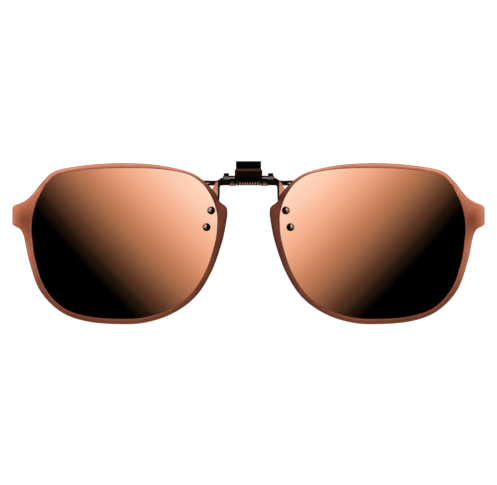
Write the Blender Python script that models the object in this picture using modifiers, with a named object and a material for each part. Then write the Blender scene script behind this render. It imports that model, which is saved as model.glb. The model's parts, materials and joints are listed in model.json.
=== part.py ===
"""Clip-on sunglasses: two mirrored lenses in metal rims that flip up on a sprung bridge clip.

Sizes are in millimetres; MM turns them into Blender's metres. +X is across, the fronts of the
lenses face -Y, and +Z is up. The origin is where the clip grips the wearer's own spectacles, on
the centre line and level with the hinge rod. Left and right are the wearer's: left is at +X.
"""
import math

import bmesh
import bpy
from mathutils import Matrix, Vector

MM = 0.001
GAP = 0.07                    # clearance between neighbouring pieces
CUT_PAST = 1.0                # how far a cutter runs past what it cuts
NAME = "clip_on_sunglasses"

# Hinge line
ROD_Y = -4.2
ROD_R = 0.42
ROD_HALF = 7.5
BORE_R = ROD_R + GAP

# Lens sheet: a shallow bowl of BASE_RADIUS, wrapped round the face by WRAP
LENS_CENTRE = (37.0, -19.0)
LENS_THICK = 1.1
WRAP = math.radians(6.0)
BASE_RADIUS = 230.0
SHEET_Y = -7.0                # middle of the sheet at the upper rivet
OUTLINE_STEPS = 2             # facets between two stations of an outline
LENS_RINGS = (1.0, 0.72, 0.42, 0.16)   # the sheet is built in rings, as shares of its outline

# Rim: a lip in front of the lens edge and a wall round it
LIP_FRONT = -0.9              # depths are from the middle of the sheet
LIP_BACK = -LENS_THICK / 2 - GAP
RIM_CHAMFER = 0.2
SEAT_DEPTH = 0.9              # how far the lens reaches under the lip
SEAT_SHARE = 0.45             # and at most this share of the band
# Stations round the rim at +X, from the top, over the nose to the temple: the outer edge, the lip
RIM_STATIONS = (
    ((37.5, 4.05), (37.5, 2.65)), ((27.1, 3.5), (26.6, 2.35)), ((18.1, 1.6), (18.4, 0.95)),
    ((13.3, -1.05), (13.9, -1.65)), ((9.6, -4.9), (11.4, -4.9)), ((8.6, -7.1), (10.3, -7.1)),
    ((6.6, -8.8), (9.7, -8.9)), ((6.2, -10.3), (9.25, -10.8)), ((6.45, -13.0), (9.15, -13.4)),
    ((7.8, -19.4), (9.75, -19.0)), ((10.9, -28.0), (12.5, -27.5)), ((15.6, -35.3), (16.9, -34.4)),
    ((22.3, -40.2), (23.0, -38.9)), ((29.9, -42.8), (30.2, -41.3)), ((37.5, -43.4), (37.5, -41.9)),
    ((47.7, -42.6), (47.3, -41.2)), ((55.6, -39.7), (54.9, -38.6)), ((61.7, -33.5), (60.3, -32.8)),
    ((64.8, -25.2), (63.1, -24.9)), ((66.2, -18.8), (64.1, -18.4)), ((66.8, -16.7), (64.3, -16.4)),
    ((67.7, -15.3), (64.3, -15.0)), ((69.0, -14.6), (64.25, -13.9)), ((69.9, -13.9), (64.2, -12.9)),
    ((70.0, -12.4), (64.0, -11.7)), ((70.0, -10.2), (63.7, -10.2)), ((69.9, -8.9), (63.3, -8.8)),
    ((69.2, -8.2), (63.0, -7.9)), ((67.6, -7.6), (62.7, -7.1)), ((66.0, -6.8), (62.2, -6.1)),
    ((64.0, -5.1), (61.5, -4.8)), ((60.8, -1.2), (59.7, -1.9)), ((56.9, 1.9), (56.3, 0.85)),
    ((48.0, 3.5), (48.0, 2.25)),
)

# Rivets through lens, washer and bracket
RIVET_SPOTS = {"upper": (10.95, -9.9), "lower": (12.3, -14.8)}
RIVET_HEAD_R = 1.19
RIVET_DOME = 0.85
RIVET_SHANK_R = 0.55
RIVET_TAIL_R = 0.95
RIVET_TAIL_END_R = 0.76
RIVET_TAIL = 0.45
RIVET_HOLE_R = RIVET_SHANK_R + GAP
WASHER_R = 1.5
WASHER_THICK = 0.35
STACK_GAP = 0.13              # clearance to the curved faces of the lens

# Lens bracket: a pad on the back of the lens, an arm, and a knuckle on the rod
BRACKET_THICK = 0.5
PAD_FRONT = LENS_THICK / 2 + WASHER_THICK + 2 * STACK_GAP
KNUCKLE_IN = 5.75
KNUCKLE_OUT = 7.3
KNUCKLE_R = 1.15
ARM_TOP_Z = -1.0              # the arm steps back from the knuckle's front to the pad
ARM_FOOT_Z = -6.0
BRACKET_OUTLINE = (
    (5.8, 0.0), (7.3, 0.0), (8.0, -0.3), (8.7, -0.7), (9.5, -1.4), (10.2, -2.6), (11.2, -4.9),
    (12.5, -7.4), (13.5, -9.7), (14.8, -15.1), (15.0, -17.2), (14.3, -18.1), (12.3, -18.4),
    (11.2, -17.8), (10.3, -14.9), (9.2, -10.0), (8.45, -6.4), (8.45, -2.9), (8.1, -2.4), (5.5, -2.4),
    (5.5, -0.6), (5.8, -0.6),
)

# Spring box and thumb lever; profiles are (y, z) from the rod
BOX_HALF = 4.06
BOX_SHEET = 0.3
BOX_DEPTH = 8.0               # more than the box's depth, for what cuts right through it
CHEEK_THICK = 0.3
BOX_PROFILE = ((-2.6, -1.42), (-2.6, 1.55), (-2.5, 1.95), (-2.15, 2.2), (-1.75, 2.25), (0.3, 2.25))
BOX_CHEEK = (
    (-2.7, -1.42), (-2.7, 1.8), (-2.2, 2.36), (0.3, 2.36), (1.2, 1.3), (1.95, -0.4), (1.95, -2.2),
    (1.3, -2.6), (0.6, -2.2), (-0.4, -1.42),
)
BOX_CORNER = ((3.5, 2.71), (4.3, 2.71), (4.3, 1.48))   # (x, z) of what the top corners lose
EAR_SPOT = (1.3, -2.03)       # crimp ear for the lower claw wire, rolled from a web
EAR_R = 0.64
EAR_OUT = 5.65
EAR_WEB_TOP = -0.3
EAR_WEB_THICK = 0.4
LEVER_HALF = 3.69
LEVER_CHEEK = (
    (-1.15, -0.5), (-1.15, 0.5), (-0.6, 1.1), (0.5, 1.2), (1.25, 1.85), (1.3, 2.75), (1.75, 2.75),
    (2.0, 1.2), (3.4, -0.6), (3.5, -1.7), (3.2, -2.5), (2.4, -2.5), (1.6, -1.75), (0.4, -1.3),
    (-0.7, -1.1),
)
LEVER_BAR_Y = 2.75            # a bar across the lever, under its wire and behind the coil
LEVER_BAR_TOP = -1.38
LEVER_BAR_LOW = -2.4
LEVER_BAR_HALF = 4.1
TAB_HALF = 3.72
TAB_SHOULDER_Z = 2.62
TAB_PROFILE = (
    (1.52, 1.8), (1.52, 2.6), (1.52, 2.64), (1.52, 3.9), (1.7, 4.4), (2.2, 4.6), (4.4, 4.6),
    (5.0, 4.4), (5.3, 3.9), (5.4, 2.8),
)
TAB_SHEET = 0.4

# Torsion spring round the bush
COIL_Z = -0.3                 # the coil hangs a little below the rod
COIL_R = 1.85
COIL_WIRE_R = 0.32
COIL_HALF = 3.0
COIL_TURNS = 8
COIL_STEPS = 12
COIL_LEG_FRONT = 2.1
COIL_LEG_BACK = 1.15
BUSH_HALF = 3.3
BUSH_R = 1.1

# Claws: wires that reach round the wearer's lenses, with soft sleeves on their straight tips
UPPER_WIRE_R = 0.38
LOWER_WIRE_R = 0.38
UPPER_WIRE_SPOT = (2.7, -0.95)
UPPER_ROUTE = (
    (0.0, -1.5, -0.95), (7.4, -1.5, -0.95), (9.4, -1.5, -1.28), (12.4, -1.5, -1.28),
    (13.9, -0.9, -1.28), (14.3, 1.4, -1.3), (14.3, 2.8, -1.9), (14.1, 3.0, -3.2),
    (13.2, 3.0, -4.6), (9.6, 3.0, -9.2),
)
LOWER_ROUTE = (
    (3.8, -2.9, -2.03), (11.2, -2.9, -2.15), (12.9, -2.95, -2.5), (13.7, -3.0, -3.6),
    (13.3, -3.0, -5.7), (11.7, -3.0, -8.0), (8.6, -3.0, -12.0),
)
SLEEVE_R = 1.0
SLEEVE_LENGTH = 5.2
SLEEVE_TIP = 0.9              # how far the sleeve reaches past its wire
SLEEVE_ROUND = 0.3
GRIP_FLAT = 0.8               # from the wire to the flat that touches the wearer's lens

BLACK = (0.012, 0.011, 0.011)
SOFT_BLACK = (0.02, 0.02, 0.022)
COPPER = (0.30, 0.115, 0.065)
MIRROR = (0.62, 0.30, 0.17)
NYLON = (0.55, 0.52, 0.47)
STEEL = (0.25, 0.24, 0.23)


# ---------------------------------------------------------------- scene and objects
def clear_scene():
    for obj in list(bpy.data.objects):
        bpy.data.objects.remove(obj, do_unlink=True)


def make_collection(name):
    collection = bpy.data.collections.new(name)
    bpy.context.scene.collection.children.link(collection)
    return collection


def make_material(name, colour, roughness, metallic):
    material = bpy.data.materials.new(name)
    material.use_nodes = True
    shader = material.node_tree.nodes["Principled BSDF"]
    shader.inputs["Base Color"].default_value = (*colour, 1.0)
    shader.inputs["Roughness"].default_value = roughness
    shader.inputs["Metallic"].default_value = metallic
    return material


def add_object(name, data, collection):
    obj = bpy.data.objects.new(name, data)
    collection.objects.link(obj)
    return obj


def add_tool(name, mesh):
    """A shape that is only there to be joined to a part or cut from it."""
    tool = add_object(name, mesh, tools)
    tool.hide_render = True
    tool.display_type = "WIRE"
    return tool


def combine(obj, tool, operation):
    boolean = obj.modifiers.new(tool.name, "BOOLEAN")
    boolean.operation = operation
    boolean.solver = "EXACT"
    boolean.object = tool
    tool.hide_set(True)


def finish_part(obj, look, axis=None):
    """Give a part its own material and smooth shading, and hang it on its joint's axis."""
    colour, roughness, metallic = look
    obj.data.materials.clear()
    obj.data.materials.append(make_material(obj.name, colour, roughness, metallic))
    if obj.type == "MESH":
        obj.data.shade_smooth()
        obj.data.set_sharp_from_angle(angle=math.radians(35))
    if axis is not None:
        obj.parent = axis
        obj.matrix_parent_inverse = Matrix.Translation(-axis.location)
    return obj


def evaluated_mesh(obj):
    bpy.context.view_layer.update()
    graph = bpy.context.evaluated_depsgraph_get()
    mesh = bpy.data.meshes.new_from_object(obj.evaluated_get(graph))
    mesh.transform(obj.matrix_world)
    return mesh


def mirrored(mesh, name):
    """The same mesh on the other side of the nose."""
    shape = bmesh.new()
    shape.from_mesh(mesh)
    bmesh.ops.scale(shape, vec=(-1.0, 1.0, 1.0), verts=shape.verts)
    bmesh.ops.reverse_faces(shape, faces=shape.faces)
    return to_mesh(shape, name)


def both_sides(name, obj, look, axis=None):
    """Keep the part at +X as the left one and add its mirror image as the right one."""
    twin_mesh = mirrored(evaluated_mesh(obj), name + "_right")
    finish_part(obj, look, axis)
    finish_part(add_object(name + "_right", twin_mesh, parts), look, axis)


# ---------------------------------------------------------------- shapes
def to_mesh(shape, name):
    mesh = bpy.data.meshes.new(name)
    shape.to_mesh(mesh)
    shape.free()
    return mesh


def cylinder(name, start, end, radius, sides=24):
    start, end = Vector(start) * MM, Vector(end) * MM
    turn = (end - start).to_track_quat("Z", "X").to_matrix().to_4x4()
    shape = bmesh.new()
    bmesh.ops.create_cone(
        shape, cap_ends=True, segments=sides, radius1=radius * MM, radius2=radius * MM,
        depth=(end - start).length, matrix=Matrix.Translation((start + end) / 2) @ turn,
    )
    return to_mesh(shape, name)


def rod_cylinder(name, x0, x1, radius, spot=(0.0, 0.0), sides=24):
    """A cylinder along X at a spot (y, z) from the rod."""
    y, z = ROD_Y + spot[0], spot[1]
    return cylinder(name, (x0, y, z), (x1, y, z), radius, sides)


def box(name, low, high):
    low, high = Vector(low) * MM, Vector(high) * MM
    size = high - low
    shape = bmesh.new()
    matrix = Matrix.Translation((low + high) / 2) @ Matrix.Diagonal((*size, 1.0))
    bmesh.ops.create_cube(shape, size=1.0, matrix=matrix)
    return to_mesh(shape, name)


def plate(name, outline, thickness, holes=()):
    """A flat plate of an outline in its own XY plane; holes are (x, y, radius)."""
    curve = bpy.data.curves.new(name, "CURVE")
    curve.dimensions = "2D"
    curve.fill_mode = "BOTH"
    curve.extrude = thickness / 2 * MM
    loops = [outline]
    for x, y, radius in holes:
        turns = [math.tau * step / 20 for step in range(20)]
        loops.append([(x + radius * math.cos(a), y + radius * math.sin(a)) for a in turns])
    for loop in loops:
        spline = curve.splines.new("POLY")
        spline.points.add(len(loop) - 1)
        for point, (x, y) in zip(spline.points, loop):
            point.co = (x * MM, y * MM, 0.0, 1.0)
        spline.use_cyclic_u = True
    return curve_mesh(curve, name)


def curve_mesh(curve, name):
    obj = add_object(name, curve, tools)
    mesh = evaluated_mesh(obj)
    bpy.data.objects.remove(obj, do_unlink=True)
    shape = bmesh.new()
    shape.from_mesh(mesh)
    bmesh.ops.remove_doubles(shape, verts=shape.verts, dist=1e-6)
    bmesh.ops.recalc_face_normals(shape, faces=shape.faces)
    return to_mesh(shape, name)


def cheek(name, outline, x, holes):
    """A plate across X, whose outline and holes are (y, z) from the rod."""
    mesh = plate(name, outline, CHEEK_THICK, holes)
    frame = Matrix(((0, 0, 1, x * MM), (1, 0, 0, ROD_Y * MM), (0, 1, 0, 0), (0, 0, 0, 1)))
    mesh.transform(frame)
    return mesh


def bent_sheet(name, profile, thickness, half_width):
    """Sheet metal bent along a (y, z) profile; half_width(z) gives its half width in X."""
    shape = bmesh.new()
    rows = []
    for y, z in profile:
        half = half_width(z)
        rows.append([shape.verts.new((x * MM, (ROD_Y + y) * MM, z * MM)) for x in (-half, half)])
    for low, high in zip(rows, rows[1:]):
        shape.faces.new((low[0], low[1], high[1], high[0]))
    obj = add_object(name, to_mesh(shape, name), tools)
    solid = obj.modifiers.new("thickness", "SOLIDIFY")
    solid.thickness = thickness * MM
    solid.offset = 0.0
    mesh = evaluated_mesh(obj)
    bpy.data.objects.remove(obj, do_unlink=True)
    return mesh


def wire_mesh(name, points, radius):
    curve = bpy.data.curves.new(name, "CURVE")
    curve.dimensions = "3D"
    curve.bevel_depth = radius * MM
    curve.bevel_resolution = 2
    curve.use_fill_caps = True
    spline = curve.splines.new("POLY")
    spline.points.add(len(points) - 1)
    for point, place in zip(spline.points, points):
        point.co = (*(Vector(place) * MM), 1.0)
    return curve_mesh(curve, name)


def turned(name, profile, steps=16):
    """A profile (radius, height), top to bottom, turned round Z."""
    shape = bmesh.new()
    verts = [shape.verts.new((r * MM, 0.0, h * MM)) for r, h in profile]
    for first, second in zip(verts, verts[1:]):
        shape.edges.new((first, second))
    obj = add_object(name, to_mesh(shape, name), tools)
    screw = obj.modifiers.new("turn", "SCREW")
    screw.steps = screw.render_steps = steps
    screw.use_merge_vertices = True
    screw.merge_threshold = 1e-6
    mesh = evaluated_mesh(obj)
    bpy.data.objects.remove(obj, do_unlink=True)
    return mesh


# ---------------------------------------------------------------- curves in space
def smooth_point(before, start, end, after, t):
    """Catmull-Rom between start and end."""
    return 0.5 * (
        2 * start + (end - before) * t + (2 * before - 5 * start + 4 * end - after) * t * t
        + (3 * start - before - 3 * end + after) * t ** 3
    )


def smooth_loop(stations):
    points = [Vector(station) for station in stations]
    count = len(points)
    loop = []
    for i in range(count):
        corners = [points[(i + k) % count] for k in (-1, 0, 1, 2)]
        loop += [smooth_point(*corners, step / OUTLINE_STEPS) for step in range(OUTLINE_STEPS)]
    return loop


def smooth_route(route, steps=4):
    """A smooth line through a route whose first and last stretches stay straight."""
    points = [Vector(place) for place in route]
    line = [points[0]]
    for i in range(1, len(points) - 2):
        corners = points[i - 1], points[i], points[i + 1], points[i + 2]
        before = corners[1] - (corners[1] - corners[0]).normalized() * (corners[2] - corners[1]).length
        after = corners[2] + (corners[3] - corners[2]).normalized() * (corners[2] - corners[1]).length
        for step in range(steps):
            line.append(smooth_point(before, corners[1], corners[2], after, step / steps))
    return line + points[-2:]


def sheet_y(x, z):
    """Depth of the middle of the lens sheet: face wrap plus base curve."""
    def bowl(px, pz):
        return ((px - LENS_CENTRE[0]) ** 2 + (pz - LENS_CENTRE[1]) ** 2) / (2 * BASE_RADIUS)
    x0, z0 = RIVET_SPOTS["upper"]
    return SHEET_Y + math.tan(WRAP) * (abs(x) - x0) + bowl(abs(x), z) - bowl(x0, z0)


def settle_on_sheet(mesh, base=0.0):
    """Shift each vertex back by the depth of the lens sheet where it stands."""
    for vertex in mesh.vertices:
        x, _, z = vertex.co / MM
        vertex.co.y += (sheet_y(x, z) - base) * MM


# ---------------------------------------------------------------- lenses and rims
def rim_loops():
    """The lip's edge, the lens's edge, the wall round the lens, and the outer edge."""
    outer = smooth_loop([station[0] for station in RIM_STATIONS])
    lip = smooth_loop([station[1] for station in RIM_STATIONS])
    lens, wall = [], []
    for out, inner in zip(outer, lip):
        band = out - inner
        seat = min(SEAT_DEPTH, SEAT_SHARE * band.length)
        lens.append(inner + band.normalized() * seat)
        wall.append(inner + band.normalized() * (seat + GAP))
    return lip, lens, wall, outer


def shrunk(loop, amount):
    """A loop moved in towards the middle of the lens."""
    centre = Vector(LENS_CENTRE)
    return [point - (point - centre).normalized() * amount for point in loop]


def loop_verts(shape, loop, y):
    return [shape.verts.new((x * MM, y * MM, z * MM)) for x, z in loop]


def skin(shape, first, second):
    count = len(first)
    for i in range(count):
        k = (i + 1) % count
        shape.faces.new((first[i], first[k], second[k], second[i]))


def make_rim():
    lip, _, wall, outer = rim_loops()
    back = LENS_THICK / 2
    section = (
        (outer, back), (outer, LIP_FRONT + RIM_CHAMFER), (shrunk(outer, RIM_CHAMFER), LIP_FRONT),
        (lip, LIP_FRONT), (lip, LIP_BACK), (wall, LIP_BACK), (wall, back),
    )
    shape = bmesh.new()
    rings = [loop_verts(shape, loop, y) for loop, y in section]
    for first, second in zip(rings, rings[1:] + rings[:1]):
        skin(shape, first, second)
    bmesh.ops.recalc_face_normals(shape, faces=shape.faces)
    mesh = to_mesh(shape, "rim_left")
    settle_on_sheet(mesh)
    both_sides("rim", add_object("rim_left", mesh, parts), (COPPER, 0.38, 0.9), flip_axis)


def make_lens():
    _, edge, _, _ = rim_loops()
    centre = Vector(LENS_CENTRE)
    shape = bmesh.new()
    sides = []
    for y in (-LENS_THICK / 2, LENS_THICK / 2):
        rings = [loop_verts(shape, [centre + (p - centre) * s for p in edge], y) for s in LENS_RINGS]
        for first, second in zip(rings, rings[1:]):
            skin(shape, first, second)
        shape.faces.new(rings[-1])
        sides.append(rings[0])
    skin(shape, *sides)
    bmesh.ops.recalc_face_normals(shape, faces=shape.faces)
    mesh = to_mesh(shape, "lens_left")
    settle_on_sheet(mesh)
    lens = add_object("lens_left", mesh, parts)
    for spot, (x, z) in RIVET_SPOTS.items():
        y = sheet_y(x, z)
        hole = cylinder("lens_hole_" + spot, (x, y - CUT_PAST, z), (x, y + CUT_PAST, z), RIVET_HOLE_R, 20)
        combine(lens, add_tool(hole.name, hole), "DIFFERENCE")
    both_sides("lens", lens, (MIRROR, 0.06, 0.9), flip_axis)


def make_rivets():
    front = LENS_THICK / 2 + STACK_GAP
    back = -(PAD_FRONT + BRACKET_THICK + GAP)
    # the dome is part of a sphere that meets the head's rim
    dome_steps = 4
    ball = (RIVET_HEAD_R ** 2 + RIVET_DOME ** 2) / (2 * RIVET_DOME)
    spread = math.asin(RIVET_HEAD_R / ball)
    dome = []
    for step in range(dome_steps + 1):
        angle = spread * step / dome_steps
        dome.append((ball * math.sin(angle), front + RIVET_DOME - ball * (1 - math.cos(angle))))
    profile = dome + [
        (RIVET_SHANK_R, front), (RIVET_SHANK_R, back), (RIVET_TAIL_R, back),
        (RIVET_TAIL_END_R, back - RIVET_TAIL), (0.0, back - RIVET_TAIL),
    ]
    for spot, (x, z) in RIVET_SPOTS.items():
        name = "rivet_" + spot
        mesh = turned(name + "_left", profile)
        mesh.transform(Matrix.Rotation(math.radians(90), 4, "X"))
        mesh.transform(Matrix.Translation(Vector((x, sheet_y(x, z), z)) * MM))
        both_sides(name, add_object(name + "_left", mesh, parts), (BLACK, 0.2, 0.9), flip_axis)


def make_washers():
    for spot, (x, z) in RIVET_SPOTS.items():
        name = "washer_" + spot
        y = sheet_y(x, z) + LENS_THICK / 2 + STACK_GAP
        disc = cylinder(name + "_left", (x, y, z), (x, y + WASHER_THICK, z), WASHER_R, 20)
        washer = add_object(name + "_left", disc, parts)
        bore = cylinder(name + "_bore", (x, y - CUT_PAST, z), (x, y + CUT_PAST, z), RIVET_HOLE_R, 20)
        combine(washer, add_tool(bore.name, bore), "DIFFERENCE")
        both_sides(name, washer, (NYLON, 0.5, 0.0), flip_axis)


def make_brackets():
    holes = [(x, z, RIVET_HOLE_R) for x, z in RIVET_SPOTS.values()]
    mesh = plate("lens_bracket_left", BRACKET_OUTLINE, BRACKET_THICK, holes)
    mesh.transform(Matrix.Rotation(math.radians(90), 4, "X"))
    shape = bmesh.new()
    shape.from_mesh(mesh)
    bends = 6
    for step in range(bends + 1):
        z = ARM_TOP_Z + (ARM_FOOT_Z - ARM_TOP_Z) * step / bends
        geometry = shape.verts[:] + shape.edges[:] + shape.faces[:]
        bmesh.ops.bisect_plane(shape, geom=geometry, plane_co=(0, 0, z * MM), plane_no=(0, 0, 1))
    leaf_y = ROD_Y - KNUCKLE_R + BRACKET_THICK / 2
    for vertex in shape.verts:
        x, _, z = vertex.co / MM
        pad_y = sheet_y(x, z) + PAD_FRONT + BRACKET_THICK / 2
        t = min(1.0, max(0.0, (z - ARM_FOOT_Z) / (ARM_TOP_Z - ARM_FOOT_Z)))
        ease = t * t * (3 - 2 * t)
        vertex.co.y += (pad_y + (leaf_y - pad_y) * ease) * MM
    bracket = add_object("lens_bracket_left", to_mesh(shape, mesh.name), parts)
    barrel = rod_cylinder("knuckle_barrel", KNUCKLE_IN, KNUCKLE_OUT, KNUCKLE_R)
    bore = rod_cylinder("knuckle_bore", KNUCKLE_IN - CUT_PAST, KNUCKLE_OUT + CUT_PAST, BORE_R)
    combine(bracket, add_tool(barrel.name, barrel), "UNION")
    combine(bracket, add_tool(bore.name, bore), "DIFFERENCE")
    both_sides("lens_bracket", bracket, (BLACK, 0.25, 0.9), flip_axis)


def make_rod():
    rod = add_object("hinge_rod", rod_cylinder("hinge_rod", -ROD_HALF, ROD_HALF, ROD_R), parts)
    finish_part(rod, (STEEL, 0.2, 1.0), flip_axis)


# ---------------------------------------------------------------- spring box and its claws
def make_spring_box():
    sheet = bent_sheet("spring_box", BOX_PROFILE, BOX_SHEET, lambda z: BOX_HALF)
    cover = add_object("spring_box", sheet, parts)
    middle = BOX_HALF - CHEEK_THICK / 2
    for side, name in ((1, "left"), (-1, "right")):
        wall = cheek("box_cheek_" + name, BOX_CHEEK, side * middle, ())
        combine(cover, add_tool(wall.name, wall), "UNION")
        inner, outer = side * (BOX_HALF - CHEEK_THICK / 2), side * EAR_OUT
        ear = rod_cylinder("box_ear_" + name, inner, outer, EAR_R, EAR_SPOT, 20)
        combine(cover, add_tool(ear.name, ear), "UNION")
        low_x, high_x = sorted((inner, outer))
        web_y = ROD_Y + EAR_SPOT[0]
        web = box("box_web_" + name, (low_x, web_y - EAR_WEB_THICK / 2, EAR_SPOT[1]),
                  (high_x, web_y + EAR_WEB_THICK / 2, EAR_WEB_TOP))
        combine(cover, add_tool(web.name, web), "UNION")
        inner = side * (LOWER_ROUTE[0][0] - GAP)
        hole = rod_cylinder("ear_bore_" + name, inner, side * (EAR_OUT + CUT_PAST),
                            LOWER_WIRE_R + GAP, EAR_SPOT, 16)
        combine(cover, add_tool(hole.name, hole), "DIFFERENCE")
        corner = plate("box_corner_" + name, [(side * x, z) for x, z in BOX_CORNER], BOX_DEPTH)
        corner.transform(Matrix.Translation((0, ROD_Y * MM, 0)) @ Matrix.Rotation(math.radians(90), 4, "X"))
        combine(cover, add_tool(corner.name, corner), "DIFFERENCE")
    bore = rod_cylinder("box_bore", -BOX_HALF - CUT_PAST, BOX_HALF + CUT_PAST, BORE_R)
    combine(cover, add_tool(bore.name, bore), "DIFFERENCE")
    finish_part(cover, (BLACK, 0.25, 0.9))


def make_bush():
    tube = rod_cylinder("hinge_tube", -BUSH_HALF, BUSH_HALF, BUSH_R)
    bush = add_object("hinge_tube", tube, parts)
    bore = rod_cylinder("bush_bore", -BUSH_HALF - CUT_PAST, BUSH_HALF + CUT_PAST, BORE_R)
    combine(bush, add_tool(bore.name, bore), "DIFFERENCE")
    finish_part(bush, (STEEL, 0.35, 1.0))


def make_spring():
    """Both legs leave the top of the coil: one forward under the box, one back to the lever."""
    turns = COIL_TURNS * COIL_STEPS
    top = COIL_Z + COIL_R
    points = [(-COIL_HALF, ROD_Y - COIL_LEG_FRONT, top)]
    for step in range(turns + 1):
        # from the top, over the back and down
        angle = math.tau * step / COIL_STEPS
        x = -COIL_HALF + 2 * COIL_HALF * step / turns
        points.append((x, ROD_Y + COIL_R * math.sin(angle), COIL_Z + COIL_R * math.cos(angle)))
    points.append((COIL_HALF, ROD_Y + COIL_LEG_BACK, top))
    mesh = wire_mesh("torsion_spring", points, COIL_WIRE_R)
    finish_part(add_object("torsion_spring", mesh, parts), (STEEL, 0.25, 1.0))


def make_sleeve(name, route, wire_r, faces_back, axis=None):
    """A soft tube closed at its tip, with a flat along the side that touches the lens."""
    tip, before = Vector(route[-1]), Vector(route[-2])
    along = (tip - before).normalized()
    end = tip + along * SLEEVE_TIP
    start = end - along * SLEEVE_LENGTH
    tube = add_object(name + "_left", cylinder(name + "_left", start, end, SLEEVE_R, 20), parts)
    bevel = tube.modifiers.new("round_ends", "BEVEL")
    bevel.width = SLEEVE_ROUND * MM
    bevel.segments = 2
    bevel.limit_method = "ANGLE"
    bore = cylinder(name + "_bore", start - along, tip + along * GAP, wire_r + GAP, 16)
    combine(tube, add_tool(bore.name, bore), "DIFFERENCE")
    side = 1 if faces_back else -1
    flat_y = tip.y + side * GRIP_FLAT
    reach = Vector((8.0, 0.0, 8.0))
    low, high = tip - reach, tip + reach
    low.y, high.y = sorted((flat_y, flat_y + side * CUT_PAST))
    block = box(name + "_flat", low, high)
    combine(tube, add_tool(block.name, block), "DIFFERENCE")
    both_sides(name, tube, (SOFT_BLACK, 0.6, 0.0), axis)


def make_lower_claws():
    name = "lower_claw_wire"
    mesh = wire_mesh(name + "_left", smooth_route(LOWER_ROUTE), LOWER_WIRE_R)
    both_sides(name, add_object(name + "_left", mesh, parts), (BLACK, 0.25, 0.9))
    make_sleeve("lower_claw_sleeve", LOWER_ROUTE, LOWER_WIRE_R, faces_back=True)


# ---------------------------------------------------------------- thumb lever and its claws
def make_thumb_lever():
    def half_width(z):
        return TAB_HALF if z > TAB_SHOULDER_Z else LEVER_HALF - CHEEK_THICK / 2

    lever = add_object("thumb_lever", bent_sheet("thumb_lever", TAB_PROFILE, TAB_SHEET, half_width),
                       parts)
    y, z = UPPER_WIRE_SPOT
    holes = ((y, z, UPPER_WIRE_R + GAP), (0.0, 0.0, BORE_R))
    for side, name in ((1, "left"), (-1, "right")):
        x = side * (LEVER_HALF - CHEEK_THICK / 2)
        wall = cheek("lever_cheek_" + name, LEVER_CHEEK, x, holes)
        combine(lever, add_tool(wall.name, wall), "UNION")
    bar_y = ROD_Y + LEVER_BAR_Y
    bar = box("lever_bar", (-LEVER_BAR_HALF, bar_y - CHEEK_THICK / 2, LEVER_BAR_LOW),
              (LEVER_BAR_HALF, bar_y + CHEEK_THICK / 2, LEVER_BAR_TOP))
    combine(lever, add_tool(bar.name, bar), "UNION")
    finish_part(lever, (BLACK, 0.25, 0.9), thumb_axis)


def make_upper_claws():
    half = smooth_route(UPPER_ROUTE)
    other = [Vector((-p.x, p.y, p.z)) for p in reversed(half[1:])]
    mesh = wire_mesh("upper_claw_wire", other + half[1:], UPPER_WIRE_R)
    finish_part(add_object("upper_claw_wire", mesh, parts), (BLACK, 0.25, 0.9), thumb_axis)
    make_sleeve("upper_claw_sleeve", UPPER_ROUTE, UPPER_WIRE_R, faces_back=False, axis=thumb_axis)


def make_axis(name):
    axis = add_object(name, None, parts)
    axis.location = (0.0, ROD_Y * MM, 0.0)
    return axis


clear_scene()
parts = make_collection(NAME)
tools = make_collection("cutters")
flip_axis = make_axis("lens_flip_axis")
thumb_axis = make_axis("thumb_pinch_axis")
make_spring_box()
make_bush()
make_spring()
make_lower_claws()
make_thumb_lever()
make_upper_claws()
make_rod()
make_brackets()
make_rim()
make_lens()
make_rivets()
make_washers()
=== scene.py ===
"""Looks of the clip-on sunglasses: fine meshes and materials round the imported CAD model.

Sizes are in millimetres until MM turns them into metres. +X is the wearer's left, the fronts of
the lenses face -Y, and +Z is up. Left pieces are made at +X and mirrored for the right.
"""
import json
import math

import bmesh
import bpy
from mathutils import Matrix, Vector


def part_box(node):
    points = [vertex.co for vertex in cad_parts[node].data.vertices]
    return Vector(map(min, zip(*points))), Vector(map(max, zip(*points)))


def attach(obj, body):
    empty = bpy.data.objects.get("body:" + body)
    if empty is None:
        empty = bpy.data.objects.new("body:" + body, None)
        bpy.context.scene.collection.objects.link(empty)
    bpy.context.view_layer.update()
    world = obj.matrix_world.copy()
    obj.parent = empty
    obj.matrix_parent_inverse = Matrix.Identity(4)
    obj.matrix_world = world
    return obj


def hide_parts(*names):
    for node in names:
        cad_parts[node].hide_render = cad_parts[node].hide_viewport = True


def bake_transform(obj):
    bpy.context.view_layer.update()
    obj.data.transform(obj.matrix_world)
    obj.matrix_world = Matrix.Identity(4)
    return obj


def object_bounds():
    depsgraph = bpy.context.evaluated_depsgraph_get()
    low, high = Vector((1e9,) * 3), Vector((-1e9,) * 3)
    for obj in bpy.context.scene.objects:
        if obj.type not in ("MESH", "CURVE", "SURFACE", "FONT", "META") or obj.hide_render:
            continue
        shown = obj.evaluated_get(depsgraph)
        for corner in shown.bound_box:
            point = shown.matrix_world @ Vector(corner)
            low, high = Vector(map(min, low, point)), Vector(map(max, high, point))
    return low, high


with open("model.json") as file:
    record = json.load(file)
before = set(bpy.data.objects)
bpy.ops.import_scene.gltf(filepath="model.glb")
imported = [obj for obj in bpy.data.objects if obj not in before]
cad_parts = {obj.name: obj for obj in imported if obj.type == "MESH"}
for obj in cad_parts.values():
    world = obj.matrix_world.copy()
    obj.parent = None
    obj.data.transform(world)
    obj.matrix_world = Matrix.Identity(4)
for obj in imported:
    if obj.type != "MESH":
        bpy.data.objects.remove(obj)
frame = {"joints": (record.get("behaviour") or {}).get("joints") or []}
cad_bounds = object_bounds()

MM = 0.001
GAP = 0.07

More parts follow.
